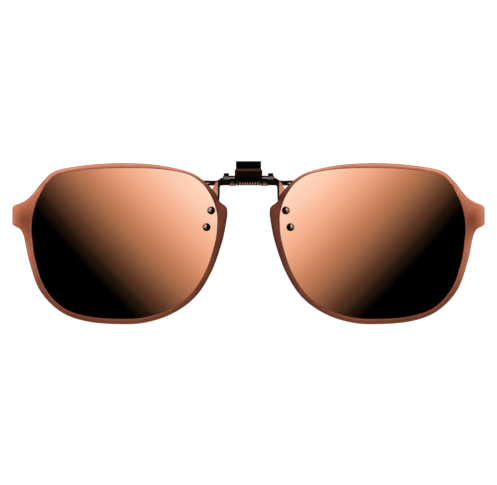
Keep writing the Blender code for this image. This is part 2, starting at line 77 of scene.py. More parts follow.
# Hinge line, from the joint that the lenses flip on
FLIP = next(joint for joint in frame["joints"] if joint["name"] == "lens_flip")
ROD_Y = FLIP["pos_m"][1] / MM
ROD_R = 0.42
TURNED_CHAMFER = 0.08         # on the ends of the rod and the bush
BORE_R = ROD_R + GAP

# Lens sheet
LENS_CENTRE = Vector((37.0, -19.0))
LENS_THICK = 1.1
WRAP = math.radians(6.0)
BASE_RADIUS = 230.0
SHEET_Y = -7.0                # middle of the sheet at SHEET_SPOT
SHEET_SPOT = (10.95, -9.9)
LENS_RING_COUNT = 14
LENS_DRILL = 2.0              # how far a rivet hole's tool runs either way of the sheet
PAD_DRILL = 3.0               # and how far back, through a bracket's pad

# Rim section, as depths from the middle of the sheet
LIP_FRONT = -0.9
LIP_BACK = -LENS_THICK / 2 - GAP
RIM_BACK = LENS_THICK / 2
SEAT_DEPTH = 0.9
SEAT_SHARE = 0.45
FRONT_ROUND = 0.34
BACK_ROUND = 0.16
LIP_ROUND = 0.08
CROWN = 0.05
RIM_STEPS = 8
ARC_STEPS = 5
# Stations round the rim at +X, from the top, over the nose to the temple: the outer edge, the lip
RIM_STATIONS = (
    ((37.5, 4.05), (37.5, 2.65)), ((27.1, 3.5), (26.6, 2.35)), ((18.1, 1.6), (18.4, 0.95)),
    ((13.3, -1.05), (13.9, -1.65)), ((9.6, -4.9), (11.4, -4.9)), ((8.6, -7.1), (10.3, -7.1)),
    ((6.6, -8.8), (9.7, -8.9)), ((6.2, -10.3), (9.25, -10.8)), ((6.45, -13.0), (9.15, -13.4)),
    ((7.8, -19.4), (9.75, -19.0)), ((10.9, -28.0), (12.5, -27.5)), ((15.6, -35.3), (16.9, -34.4)),
    ((22.3, -40.2), (23.0, -38.9)), ((29.9, -42.8), (30.2, -41.3)), ((37.5, -43.4), (37.5, -41.9)),
    ((47.7, -42.6), (47.3, -41.2)), ((55.6, -39.7), (54.9, -38.6)), ((61.7, -33.5), (60.3, -32.8)),
    ((64.8, -25.2), (63.1, -24.9)), ((66.2, -18.8), (64.1, -18.4)), ((66.8, -16.7), (64.3, -16.4)),
    ((67.7, -15.3), (64.3, -15.0)), ((69.0, -14.6), (64.25, -13.9)), ((69.9, -13.9), (64.2, -12.9)),
    ((70.0, -12.4), (64.0, -11.7)), ((70.0, -10.2), (63.7, -10.2)), ((69.9, -8.9), (63.3, -8.8)),
    ((69.2, -8.2), (63.0, -7.9)), ((67.6, -7.6), (62.7, -7.1)), ((66.0, -6.8), (62.2, -6.1)),
    ((64.0, -5.1), (61.5, -4.8)), ((60.8, -1.2), (59.7, -1.9)), ((56.9, 1.9), (56.3, 0.85)),
    ((48.0, 3.5), (48.0, 2.25)),
)

# Rivets and washers
RIVET_HEAD_R = 1.19
RIVET_DOME = 0.85
RIVET_SHANK_R = 0.55
RIVET_TAIL_R = 0.95
RIVET_TAIL = 0.45
RIVET_HOLE_R = RIVET_SHANK_R + GAP
RIVET_TAIL_ROUND = 0.2
RIVET_HEAD_UNDERCUT = 0.04
RIVET_DOME_STEPS = 12
WASHER_R = 1.5
WASHER_THICK = 0.35
WASHER_CHAMFER = 0.06
STACK_GAP = 0.13

# Lens bracket
BRACKET_THICK = 0.5
PAD_FRONT = LENS_THICK / 2 + WASHER_THICK + 2 * STACK_GAP
KNUCKLE_IN = 5.75
KNUCKLE_OUT = 7.3
KNUCKLE_R = 1.15
ARM_TOP_Z = -1.0
ARM_FOOT_Z = -6.0
ARM_STEPS = 16
BRACKET_BEVEL = 0.09
BARREL_BEVEL = 0.1
BRACKET_OUTLINE = (
    (5.8, 0.0), (7.3, 0.0), (8.0, -0.3), (8.7, -0.7), (9.5, -1.4), (10.2, -2.6), (11.2, -4.9),
    (12.5, -7.4), (13.5, -9.7), (14.8, -15.1), (15.0, -17.2), (14.3, -18.1), (12.3, -18.4),
    (11.2, -17.8), (10.3, -14.9), (9.2, -10.0), (8.45, -6.4), (8.45, -2.9), (8.1, -2.4), (5.5, -2.4),
    (5.5, -0.6), (5.8, -0.6),
)
SQUARE_CORNERS = (0, 19, 20, 21)    # the outline's corners at the knuckle
# A stud on the front of the arm, as (radius, height) over the middle of the plate
DIMPLE_SPOT = (7.75, -1.9)
DIMPLE = ((0.0, 0.0), (0.3, 0.0), (0.3, 0.27), (0.24, 0.34), (0.12, 0.38), (0.0, 0.39))

# Spring box and thumb lever; profiles are (y, z) from the rod
BOX_HALF = 4.06
BOX_SHEET = 0.3
BOX_DEPTH = 8.0
CHEEK_THICK = 0.3
BOX_PROFILE = ((-2.6, -1.42), (-2.6, 1.55), (-2.5, 1.95), (-2.15, 2.2), (-1.75, 2.25), (0.3, 2.25))
BOX_CHEEK = (
    (-2.7, -1.42), (-2.7, 1.8), (-2.2, 2.36), (0.3, 2.36), (1.2, 1.3), (1.95, -0.4), (1.95, -2.2),
    (1.3, -2.6), (0.6, -2.2), (-0.4, -1.42),
)
BOX_CORNER = ((3.5, 2.71), (4.3, 2.71), (4.3, 1.48))
EAR_SPOT = (1.3, -2.03)
EAR_R = 0.64
EAR_CHAMFER = 0.1
EAR_OUT = 5.65
EAR_WEB_TOP = -0.3
EAR_WEB_THICK = 0.4
LEVER_HALF = 3.69
LEVER_CHEEK = (
    (-1.15, -0.5), (-1.15, 0.5), (-0.6, 1.1), (0.5, 1.2), (1.25, 1.85), (1.3, 2.75), (1.75, 2.75),
    (2.0, 1.2), (3.4, -0.6), (3.5, -1.7), (3.2, -2.5), (2.4, -2.5), (1.6, -1.75), (0.4, -1.3),
    (-0.7, -1.1),
)
LEVER_BAR_Y = 2.75            # a bar across the lever, under its wire and behind the coil
LEVER_BAR_TOP = -1.35
LEVER_BAR_LOW = -2.4
LEVER_BAR_HALF = 4.1
TAB_HALF = 3.72
TAB_SHOULDER_Z = 2.62
TAB_PROFILE = (
    (1.52, 1.8), (1.52, 2.6), (1.52, 2.64), (1.52, 3.9), (1.7, 4.4), (2.2, 4.6), (4.4, 4.6),
    (5.0, 4.4), (5.3, 3.9), (5.4, 2.8),
)
TAB_SHEET = 0.4
EDGE_BEVEL = 0.07
BAR_BEVEL = 0.03

# Torsion spring round the bush
COIL_Z = -0.3                 # the coil hangs a little below the rod
COIL_R = 1.85
COIL_WIRE_R = 0.32
COIL_HALF = 3.0
COIL_TURNS = 8
COIL_STEPS = 28
COIL_LEG_FRONT = 2.1
COIL_LEG_BACK = 1.15
BUSH_HALF = 3.3
BUSH_R = 1.1

# Claws
UPPER_WIRE_R = 0.38
LOWER_WIRE_R = 0.38
UPPER_WIRE_SPOT = (2.7, -0.95)
UPPER_ROUTE = (
    (0.0, -1.5, -0.95), (7.4, -1.5, -0.95), (9.4, -1.5, -1.32), (12.4, -1.5, -1.32),
    (13.9, -0.9, -1.28), (14.3, 1.4, -1.3), (14.3, 2.8, -1.9), (14.1, 3.0, -3.2),
    (13.2, 3.0, -4.6), (9.6, 3.0, -9.2),
)
LOWER_ROUTE = (
    (3.8, -2.9, -2.03), (11.2, -2.9, -2.11), (12.9, -2.95, -2.5), (13.7, -3.0, -3.6),
    (13.3, -3.0, -5.7), (11.7, -3.0, -8.0), (8.6, -3.0, -12.0),
)
SLEEVE_R = 1.0
SLEEVE_LENGTH = 5.2
SLEEVE_TIP = 0.9
GRIP_FLAT = 0.8
SLEEVE_MOUTH = 0.15
SLEEVE_DOME = 0.75
GRIP_RINGS = (1.0, 1.7)
GRIP_RING_HALF = 0.12
GRIP_RING_DEPTH = 0.1
WIRE_CREASE = 50              # edges of a wire sharper than this stay sharp, in degrees

# The rims' coat with painted light and shade: stops lighter for each mm outwards and upwards,
# soft patches of painted light and shade as (place, radius, stops), and its colours from dark to
# light
RIM_LIGHT_OUTWARD = 0.023
RIM_LIGHT_UPWARD = 0.027
RIM_LIGHT_PATCHES = (
    ((9.8, -6.0), 7.0, -1.05), ((66.1, -12.5), 9.0, -1.3), ((30.0, -42.0), 14.0, 0.5),
    ((8.1, -9.0), 3.0, 0.6), ((61.0, -34.0), 6.0, -0.15), ((56.5, 2.0), 6.0, 0.95),
    ((11.7, -27.8), 5.0, 0.35), ((20.5, 2.2), 9.0, 0.45), ((40.0, -43.0), 12.0, 0.45),
    ((60.2, -1.5), 3.0, -0.3), ((66.5, -7.8), 4.0, 0.3), ((16.2, -34.8), 5.0, 0.25),
    ((56.0, -39.5), 6.0, 0.15),
)
COAT_SHADE_TONES = (
    (0.0, (0.085, 0.018, 0.009)), (0.3, (0.175, 0.048, 0.025)), (0.6, (0.36, 0.103, 0.051)),
    (1.0, (0.80, 0.30, 0.175)),
)
# The mirror coat's painted reflection, from the upper nose corner of a lens to its lower temple
# corner
MIRROR_REFLECTION_TONES = (
    (0.0, (0.94, 0.645, 0.50)), (0.064, (0.93, 0.59, 0.44)), (0.128, (0.92, 0.56, 0.41)),
    (0.24, (0.92, 0.475, 0.315)), (0.385, (0.92, 0.40, 0.23)), (0.55, (0.92, 0.35, 0.17)),
    (0.9, (0.92, 0.335, 0.15)), (1.0, (0.95, 0.43, 0.22)),
)
# What dark plating and spring wire reflect at a glancing angle
PLATE_EDGE = (0.16, 0.08, 0.05, 1.0)
SPRING_EDGE = (0.7, 0.42, 0.27, 1.0)

# Camera, floor and light
CAMERA_DISTANCE = 614.5
CAMERA_LENS = 150.0
FLOOR_DROP = 60.0             # the clip-on hangs this far above the floor
FLOOR_HALF = 4000.0
FLOOR_GLOW = 0.66
STUDIO_STRENGTH = 1.08
# Soft lights as (name, place in m, width in m, power in W)
LIGHTS = (
    ("top_soft", (0.0, -0.3, 0.5), 0.45, 4.0), ("left_soft", (0.55, -0.25, 0.2), 0.3, 2.0),
    ("right_soft", (-0.55, -0.25, 0.2), 0.3, 2.0),
)
LIGHT_AIM = Vector((0.0, 0.0, -0.015))
FRONT_FROM, FRONT_FULL = -0.25, -0.6    # y of the directions that the front light spans
# Light in front as (slope, level), where the slope is (|x| - z) / -y of a direction
FRONT_BOX = (
    (-0.3, 1.0), (-0.08, 1.0), (-0.02, 0.97), (0.05, 0.89), (0.105, 0.77), (0.165, 0.6),
    (0.225, 0.44), (0.29, 0.255), (0.35, 0.115), (0.42, 0.02), (0.48, 0.0), (0.7, 0.0),
)
# Side lamps: where each starts, is full, fades and ends, in x / -y and z / -y of a direction
LAMP_ASIDE = (0.66, 0.8, 1.4, 1.7)
LAMP_ABOVE = (-0.45, -0.2, 0.45, 0.7)
# A bright table below, beyond what the lenses reflect to the front, in z / -y
TABLE_FROM, TABLE_FULL, TABLE_LEVEL = -0.5, -1.0, 0.6
# Light all round as (height, level), from straight down at 0 to straight up at 1
STUDIO = ((0.0, 1.0), (0.04, 0.7), (0.1, 0.35), (0.25, 0.25), (0.48, 0.25), (0.6, 0.16), (1.0, 0.3))


# ---- meshes
def to_object(name, shape):
    mesh = bpy.data.meshes.new(name)
    shape.to_mesh(mesh)
    shape.free()
    obj = bpy.data.objects.new(name, mesh)
    bpy.context.scene.collection.objects.link(obj)
    return obj


def evaluated(obj):
    """The object's mesh with its modifiers applied."""
    bpy.context.view_layer.update()
    graph = bpy.context.evaluated_depsgraph_get()
    mesh = bpy.data.meshes.new_from_object(obj.evaluated_get(graph))
    mesh.transform(obj.matrix_world)
    return mesh


def apply_modifiers(obj):
    mesh = evaluated(obj)
    obj.modifiers.clear()
    obj.data = mesh
    obj.matrix_world = Matrix.Identity(4)


def combine(obj, tools, operation):
    """Join the tools to the object, or cut them from it, and remove them."""
    for tool in tools:
        boolean = obj.modifiers.new(operation, "BOOLEAN")
        boolean.operation = operation
        boolean.solver = "EXACT"
        boolean.object = tool
    apply_modifiers(obj)
    for tool in tools:
        bpy.data.objects.remove(tool, do_unlink=True)


def bevel(obj, width, segments=2, angle=40):
    edges = obj.modifiers.new("edges", "BEVEL")
    edges.width = width * MM
    edges.segments = segments
    edges.limit_method = "ANGLE"
    edges.angle_limit = math.radians(angle)
    apply_modifiers(obj)


def shade(obj, angle=35):
    obj.data.shade_smooth()
    obj.data.set_sharp_from_angle(angle=math.radians(angle))


def mirror_copy(obj, name):
    shape = bmesh.new()
    shape.from_mesh(obj.data)
    bmesh.ops.scale(shape, vec=(-1.0, 1.0, 1.0), verts=shape.verts)
    bmesh.ops.reverse_faces(shape, faces=shape.faces)
    twin = to_object(name, shape)
    for material in obj.data.materials:
        twin.data.materials.append(material)
    return twin


def quarter_turn(steps):
    return [math.radians(90 * step / steps) for step in range(steps + 1)]


def ring_verts(shape, points):
    return [shape.verts.new(Vector(point) * MM) for point in points]


def skin(shape, first, second):
    count = len(first)
    for i in range(count):
        k = (i + 1) % count
        shape.faces.new((first[i], first[k], second[k], second[i]))


def lathe(name, profile, matrix, steps=48, closed=False):
    """A (radius, height) profile turned round its own Z; a closed one makes a tube."""
    shape = bmesh.new()
    rings = []
    for radius, height in profile:
        if radius < 1e-6:
            rings.append([shape.verts.new((0.0, 0.0, height * MM))])
            continue
        turns = [math.tau * step / steps for step in range(steps)]
        rings.append(ring_verts(shape, [
            (radius * math.cos(a), radius * math.sin(a), height) for a in turns
        ]))
    pairs = list(zip(rings, rings[1:]))
    if closed:
        pairs.append((rings[-1], rings[0]))
    for first, second in pairs:
        if len(first) == 1 or len(second) == 1:
            tip, ring = (first, second) if len(first) == 1 else (second, first)
            for i in range(steps):
                shape.faces.new((tip[0], ring[i], ring[(i + 1) % steps]))
        else:
            skin(shape, first, second)
    bmesh.ops.recalc_face_normals(shape, faces=shape.faces)
    bmesh.ops.transform(shape, matrix=matrix, verts=shape.verts)
    return to_object(name, shape)


def along(start, end):
    """Matrix that takes Z to the line from start to end, with its foot at start, in mm."""
    start, end = Vector(start), Vector(end)
    turn = (end - start).to_track_quat("Z", "X").to_matrix().to_4x4()
    return Matrix.Translation(start * MM) @ turn


def rod(name, start, end, radius, chamfer=0.0, steps=48):
    length = (Vector(end) - Vector(start)).length
    profile = [(0.0, 0.0), (radius - chamfer, 0.0), (radius, chamfer),
               (radius, length - chamfer), (radius - chamfer, length), (0.0, length)]
    if not chamfer:
        profile = [profile[0], profile[2], profile[3], profile[5]]
    return lathe(name, profile, along(start, end), steps)


def tube(name, start, end, outer, inner, chamfer, steps=48):
    length = (Vector(end) - Vector(start)).length
    profile = [(inner + chamfer, 0.0), (outer - chamfer, 0.0), (outer, chamfer),
               (outer, length - chamfer), (outer - chamfer, length), (inner + chamfer, length),
               (inner, length - chamfer), (inner, chamfer)]
    return lathe(name, profile, along(start, end), steps, closed=True)


def hinge_rod(name, x0, x1, radius, spot=(0.0, 0.0)):
    y, z = ROD_Y + spot[0], spot[1]
    return rod(name, (x0, y, z), (x1, y, z), radius)


def rounded(outline, rounds=2, hold=()):
    """Cut each corner of an outline twice over, except the ones to hold."""
    points = [(Vector(point), k in hold) for k, point in enumerate(outline)]
    for _ in range(rounds):
        cut = []
        count = len(points)
        for i, (here, held) in enumerate(points):
            before, after = points[i - 1][0], points[(i + 1) % count][0]
            if held:
                cut.append((here, True))
            else:
                cut.append((here.lerp(before, 0.25), False))
                cut.append((here.lerp(after, 0.25), False))
        points = cut
    return [point for point, _ in points]


def plate(name, outline, thickness, place):
    """A plate of an outline, whose corners place(a, b, depth) puts in space, in mm."""
    shape = bmesh.new()
    sides = [ring_verts(shape, [place(a, b, depth) for a, b in outline])
             for depth in (-thickness / 2, thickness / 2)]
    shape.faces.new(sides[0])
    shape.faces.new(list(reversed(sides[1])))
    skin(shape, *sides)
    bmesh.ops.recalc_face_normals(shape, faces=shape.faces)
    return to_object(name, shape)


def cheek(name, outline, x):
    wall = plate(name, rounded(outline), CHEEK_THICK, lambda y, z, d: (x + d, ROD_Y + y, z))
    bevel(wall, EDGE_BEVEL)
    return wall


def smooth_profile(profile, rounds=2):
    """An open profile with its corners cut and its ends kept."""
    points = [Vector(point) for point in profile]
    for _ in range(rounds):
        cut = [points[0]]
        for here, after in zip(points, points[1:]):
            cut += [here.lerp(after, 0.25), here.lerp(after, 0.75)]
        points = cut + [points[-1]]
    return points


def bent_sheet(name, profile, thickness, half_width):
    """Sheet metal bent along a (y, z) profile, with the half width at each point."""
    shape = bmesh.new()
    rows = []
    for y, z in profile:
        half = half_width(z)
        rows.append([shape.verts.new((x * MM, (ROD_Y + y) * MM, z * MM)) for x in (-half, half)])
    for low, high in zip(rows, rows[1:]):
        shape.faces.new((low[0], low[1], high[1], high[0]))
    obj = to_object(name, shape)
    solid = obj.modifiers.new("thickness", "SOLIDIFY")
    solid.thickness = thickness * MM
    solid.offset = 0.0
    solid.use_even_offset = True
    apply_modifiers(obj)
    bevel(obj, EDGE_BEVEL)
    return obj


def wire(name, points, radius):
    curve = bpy.data.curves.new(name, "CURVE")
    curve.dimensions = "3D"
    curve.bevel_depth = radius * MM
    curve.bevel_resolution = 5
    curve.use_fill_caps = True
    spline = curve.splines.new("POLY")
    spline.points.add(len(points) - 1)
    for point, place in zip(spline.points, points):
        point.co = (*(Vector(place) * MM), 1.0)
    guide = bpy.data.objects.new(name, curve)
    bpy.context.scene.collection.objects.link(guide)
    mesh = evaluated(guide)
    bpy.data.objects.remove(guide, do_unlink=True)
    shape = bmesh.new()
    shape.from_mesh(mesh)
    bmesh.ops.remove_doubles(shape, verts=shape.verts, dist=1e-6)
    bmesh.ops.recalc_face_normals(shape, faces=shape.faces)
    return to_object(name, shape)


# ---- curves and the lens sheet
def smooth_point(before, start, end, after, t):
    """Catmull-Rom between start and end."""
    return 0.5 * (
        2 * start + (end - before) * t + (2 * before - 5 * start + 4 * end - after) * t * t
        + (3 * start - before - 3 * end + after) * t ** 3
    )


def smooth_loop(stations, steps):
    points = [Vector(station) for station in stations]
    count = len(points)
    loop = []
    for i in range(count):
        corners = [points[(i + k) % count] for k in (-1, 0, 1, 2)]
        loop += [smooth_point(*corners, step / steps) for step in range(steps)]
    return loop


def smooth_route(route, steps=10):
    """A smooth line through a route whose first and last stretches stay straight."""
    points = [Vector(place) for place in route]
    line = [points[0]]
    for i in range(1, len(points) - 2):
        corners = points[i - 1], points[i], points[i + 1], points[i + 2]
        reach = (corners[2] - corners[1]).length
        before = corners[1] - (corners[1] - corners[0]).normalized() * reach
        after = corners[2] + (corners[3] - corners[2]).normalized() * reach
        for step in range(steps):
            line.append(smooth_point(before, corners[1], corners[2], after, step / steps))
    return line + points[-2:]


def bowl(x, z):
    return ((x - LENS_CENTRE.x) ** 2 + (z - LENS_CENTRE.y) ** 2) / (2 * BASE_RADIUS)


def sheet_y(x, z):
    """Depth of the middle of the lens sheet: face wrap plus base curve."""
    wrap = math.tan(WRAP) * (abs(x) - SHEET_SPOT[0])
    return SHEET_Y + wrap + bowl(abs(x), z) - bowl(*SHEET_SPOT)


def sheet_normal(x, z):
    """Normal of the sheet's front."""
    slope_x = math.tan(WRAP) + (abs(x) - LENS_CENTRE.x) / BASE_RADIUS
    slope_z = (z - LENS_CENTRE.y) / BASE_RADIUS
    return Vector((math.copysign(1.0, x) * slope_x, -1.0, slope_z)).normalized()


def on_sheet(point, depth):
    return point[0], sheet_y(*point) + depth, point[1]


def rim_loops():
    """The outer edge, the lip's edge, the wall round the lens, and the lens's edge."""
    outer = smooth_loop([station[0] for station in RIM_STATIONS], RIM_STEPS)
    lip = smooth_loop([station[1] for station in RIM_STATIONS], RIM_STEPS)
    wall, lens = [], []
    for out, inner in zip(outer, lip):
        band = out - inner
        seat = min(SEAT_DEPTH, SEAT_SHARE * band.length)
        lens.append(inner + band.normalized() * seat)
        wall.append(inner + band.normalized() * (seat + GAP))
    return outer, lip, wall, lens


def round_edge(corner, inward, depth, radius, turns, back=1):
    """A rounded edge of the rim's section, as (point, depth)."""
    return [(corner + inward * (radius * (1 - math.cos(a))),
             depth + back * radius * (1 - math.sin(a))) for a in turns]


def rim_section(out, inner, wall):
    """One section of the rim as (point, depth): back edge, side, front, lip, seat and wall."""
    inward = (inner - out).normalized()
    turns = quarter_turn(ARC_STEPS)
    section = round_edge(out, inward, RIM_BACK, BACK_ROUND, reversed(turns), -1)
    section += round_edge(out, inward, LIP_FRONT, FRONT_ROUND, turns)
    outer_end = out + inward * FRONT_ROUND
    lip_start = inner - inward * LIP_ROUND
    for share in (0.25, 0.5, 0.75):
        crown = CROWN * (1 - (2 * share - 1) ** 2)
        section.append((outer_end.lerp(lip_start, share), LIP_FRONT - crown))
    section += round_edge(inner, -inward, LIP_FRONT, LIP_ROUND, reversed(turns))
    section += [(inner, LIP_BACK), (wall, LIP_BACK), (wall, RIM_BACK - LIP_ROUND),
                (wall - inward * LIP_ROUND, RIM_BACK)]
    return section


# ---- pieces
def finish_piece(obj, materials, node, body=None):
    """Give a piece its materials, attach it to the body it rides on, and hide the CAD part it stands
    for.
    """
    obj.data.materials.clear()
    for material in materials:
        obj.data.materials.append(material)
    if body:
        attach(obj, body)
    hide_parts(node)


def both_sides(obj, materials, node, body):
    """Finish the left piece, and add and finish its mirror image."""
    stem = obj.name[:-len("left")]
    twin = mirror_copy(obj, stem + "right")
    shade(twin)
    finish_piece(obj, materials, node + "_left", body)
    finish_piece(twin, materials, node + "_right", body)
    return twin


def make_rims(coat, highlight_paint):
    """The rims, with the lip's inner edge in its own material, which carries a painted grey
    highlight.
    """
    outer, lip, wall, _ = rim_loops()
    sections = [rim_section(*stations) for stations in zip(outer, lip, wall)]
    lip_end = len(sections[0]) - 5
    shape = bmesh.new()
    rings = [ring_verts(shape, [on_sheet(*point) for point in section]) for section in sections]
    for first, second in zip(rings, rings[1:] + rings[:1]):
        skin(shape, first, second)
    bmesh.ops.recalc_face_normals(shape, faces=shape.faces)
    rim = to_object("rim_look_left", shape)
    shade(rim)
    twin = both_sides(rim, [coat, highlight_paint], "rim", "lens_carrier")
    for obj in (rim, twin):
        for polygon in obj.data.polygons:
            spot = polygon.index % len(sections[0])
            polygon.material_index = 1 if lip_end - ARC_STEPS <= spot < lip_end else 0


def rivet_spots():
    """Where the rivets' axes are, from the CAD nodes."""
    spots = {}
    for spot in ("upper", "lower"):
        low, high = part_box(f"rivet_{spot}_left")
        middle = (low + high) / 2 / MM
        spots[spot] = (middle.x, middle.z)
    return spots


RIVET_SPOTS = rivet_spots()


def face_lens(lens):
    """Mark the front faces and give both curved faces the sheet's own normals."""
    mesh = lens.data
    mesh.shade_smooth()
    normals = []
    for polygon in mesh.polygons:
        front, back = polygon.normal.y < -0.8, polygon.normal.y > 0.8
        polygon.material_index = 0 if front else 1
        for loop in polygon.loop_indices:
            x, _, z = mesh.vertices[mesh.loops[loop].vertex_index].co / MM
            if front:
                normals.append(sheet_normal(x, z))
            elif back:
                normals.append(-sheet_normal(x, z))
            else:
                normals.append(polygon.normal.copy())
    mesh.normals_split_custom_set(normals)


def make_lenses(mirror, tint):
    _, _, _, edge = rim_loops()
    shape = bmesh.new()
    outer_rings = []
    for depth in (-LENS_THICK / 2, LENS_THICK / 2):
        rings = []
        for ring in range(LENS_RING_COUNT):
            share = 1 - ring / LENS_RING_COUNT
            loop = [LENS_CENTRE + (point - LENS_CENTRE) * share for point in edge]
            rings.append(ring_verts(shape, [on_sheet(point, depth) for point in loop]))
        for first, second in zip(rings, rings[1:]):
            skin(shape, first, second)
        middle = shape.verts.new(Vector(on_sheet(LENS_CENTRE, depth)) * MM)
        inner = rings[-1]
        for i, vert in enumerate(inner):
            shape.faces.new((middle, vert, inner[(i + 1) % len(inner)]))
        outer_rings.append(rings[0])
    skin(shape, *outer_rings)
    bmesh.ops.recalc_face_normals(shape, faces=shape.faces)
    lens = to_object("lens_look_left", shape)
    holes = []
    for x, z in RIVET_SPOTS.values():
        y = sheet_y(x, z)
        holes.append(rod("lens_hole", (x, y - LENS_DRILL, z), (x, y + LENS_DRILL, z), RIVET_HOLE_R))
    combine(lens, holes, "DIFFERENCE")
    twin = mirror_copy(lens, "lens_look_right")
    for obj, side in ((lens, "left"), (twin, "right")):
        finish_piece(obj, [mirror, tint], "lens_" + side, "lens_carrier")
        face_lens(obj)


def rivet_profile():
    """From the dome's top down to the flattened tail."""
    front = LENS_THICK / 2 + STACK_GAP
    back = -(PAD_FRONT + BRACKET_THICK + GAP)
    ball = (RIVET_HEAD_R ** 2 + RIVET_DOME ** 2) / (2 * RIVET_DOME)
    spread = math.asin(RIVET_HEAD_R / ball)
    profile = []
    for step in range(RIVET_DOME_STEPS + 1):
        angle = spread * step / RIVET_DOME_STEPS
        profile.append((ball * math.sin(angle), front + RIVET_DOME - ball * (1 - math.cos(angle))))
    profile += [(RIVET_HEAD_R - RIVET_HEAD_UNDERCUT, front), (RIVET_SHANK_R, front),
                (RIVET_SHANK_R, back), (RIVET_TAIL_R, back)]
    for a in quarter_turn(ARC_STEPS):
        profile.append((RIVET_TAIL_R - RIVET_TAIL_ROUND * (1 - math.cos(a)),
                        back - RIVET_TAIL + RIVET_TAIL_ROUND * (1 - math.sin(a))))
    profile.append((0.0, back - RIVET_TAIL))
    return profile


def make_rivets(material, nylon):
    for spot, (x, z) in RIVET_SPOTS.items():
        place = Matrix.Translation(Vector(on_sheet((x, z), 0.0)) * MM)
        turn = Matrix.Rotation(math.radians(90), 4, "X")
        rivet = lathe(f"rivet_look_{spot}_left", rivet_profile(), place @ turn)
        shade(rivet)
        both_sides(rivet, [material], "rivet_" + spot, "lens_carrier")
        y = sheet_y(x, z) + LENS_THICK / 2 + STACK_GAP
        washer = tube(f"washer_look_{spot}_left", (x, y, z), (x, y + WASHER_THICK, z),
                      WASHER_R, RIVET_HOLE_R, WASHER_CHAMFER)
        shade(washer)
        both_sides(washer, [nylon], "washer_" + spot, "lens_carrier")


def make_brackets(material):
    """A plate with its corners rounded, bent from the knuckle back to the lens, with its barrel."""
    outline = rounded(BRACKET_OUTLINE, hold=SQUARE_CORNERS)
    bracket = plate("bracket_look_left", outline, BRACKET_THICK, lambda x, z, d: (x, d, z))
    shape = bmesh.new()
    shape.from_mesh(bracket.data)
    for step in range(ARM_STEPS + 1):
        z = ARM_TOP_Z + (ARM_FOOT_Z - ARM_TOP_Z) * step / ARM_STEPS
        geometry = shape.verts[:] + shape.edges[:] + shape.faces[:]
        bmesh.ops.bisect_plane(shape, geom=geometry, plane_co=(0, 0, z * MM), plane_no=(0, 0, 1))
    leaf_y = ROD_Y - KNUCKLE_R + BRACKET_THICK / 2
    for vertex in shape.verts:
        x, _, z = vertex.co / MM
        pad_y = sheet_y(x, z) + PAD_FRONT + BRACKET_THICK / 2
        t = min(1.0, max(0.0, (z - ARM_FOOT_Z) / (ARM_TOP_Z - ARM_FOOT_Z)))
        ease = t * t * (3 - 2 * t)
        vertex.co.y += (pad_y + (leaf_y - pad_y) * ease) * MM
    shape.to_mesh(bracket.data)
    shape.free()
    bevel(bracket, BRACKET_BEVEL, 3, 60)
    barrel = hinge_rod("barrel", KNUCKLE_IN, KNUCKLE_OUT, KNUCKLE_R)
    bevel(barrel, BARREL_BEVEL, 3)
    dimple = lathe("dimple", DIMPLE, along((DIMPLE_SPOT[0], leaf_y, DIMPLE_SPOT[1]),
                                           (DIMPLE_SPOT[0], leaf_y - 1, DIMPLE_SPOT[1])))
    combine(bracket, [barrel, dimple], "UNION")
    cuts = [hinge_rod("bore", KNUCKLE_IN - 1, KNUCKLE_OUT + 1, BORE_R)]
    for x, z in RIVET_SPOTS.values():
        y = sheet_y(x, z)
        cuts.append(rod("hole", (x, y, z), (x, y + PAD_DRILL, z), RIVET_HOLE_R))
    combine(bracket, cuts, "DIFFERENCE")
    shade(bracket)
    both_sides(bracket, [material], "lens_bracket", "lens_carrier")


def make_rod(material):
    low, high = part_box("hinge_rod")
    pin = rod("hinge_rod_look", (low.x / MM, ROD_Y, 0.0), (high.x / MM, ROD_Y, 0.0), ROD_R,
              TURNED_CHAMFER)
    shade(pin)
    finish_piece(pin, [material], "hinge_rod", "lens_carrier")


def make_spring_box(material):
    profile = smooth_profile(BOX_PROFILE)
    cover = bent_sheet("spring_box_look", profile, BOX_SHEET, lambda z: BOX_HALF)
    joins, bores = [], [hinge_rod("bore", -BOX_HALF - 1, BOX_HALF + 1, BORE_R)]
    for side in (1, -1):
        joins.append(cheek("wall", BOX_CHEEK, side * (BOX_HALF - CHEEK_THICK / 2)))
        y, z = ROD_Y + EAR_SPOT[0], EAR_SPOT[1]
        inner, outer = side * (BOX_HALF - CHEEK_THICK / 2), side * EAR_OUT
        joins.append(rod("ear", (inner, y, z), (outer, y, z), EAR_R, EAR_CHAMFER))
        web = [(inner, z), (outer, z), (outer, EAR_WEB_TOP), (inner, EAR_WEB_TOP)]
        joins.append(plate("web", web, EAR_WEB_THICK, lambda a, b, d: (a, y + d, b)))
        bevel(joins[-1], EDGE_BEVEL)
        corner = [(side * a, b) for a, b in BOX_CORNER]
        bores.append(plate("corner", corner, BOX_DEPTH, lambda a, b, d: (a, ROD_Y + d, b)))
        start = side * (LOWER_ROUTE[0][0] - GAP)
        bores.append(hinge_rod("ear_bore", start, side * (EAR_OUT + 1), LOWER_WIRE_R + GAP, EAR_SPOT))
    combine(cover, joins, "UNION")
    combine(cover, bores, "DIFFERENCE")
    shade(cover)
    finish_piece(cover, [material], "spring_box", "clip_base")


def make_bush(material):
    bush = tube("hinge_tube_look", (-BUSH_HALF, ROD_Y, 0.0), (BUSH_HALF, ROD_Y, 0.0),
                BUSH_R, BORE_R, TURNED_CHAMFER)
    shade(bush)
    finish_piece(bush, [material], "hinge_tube", "clip_base")


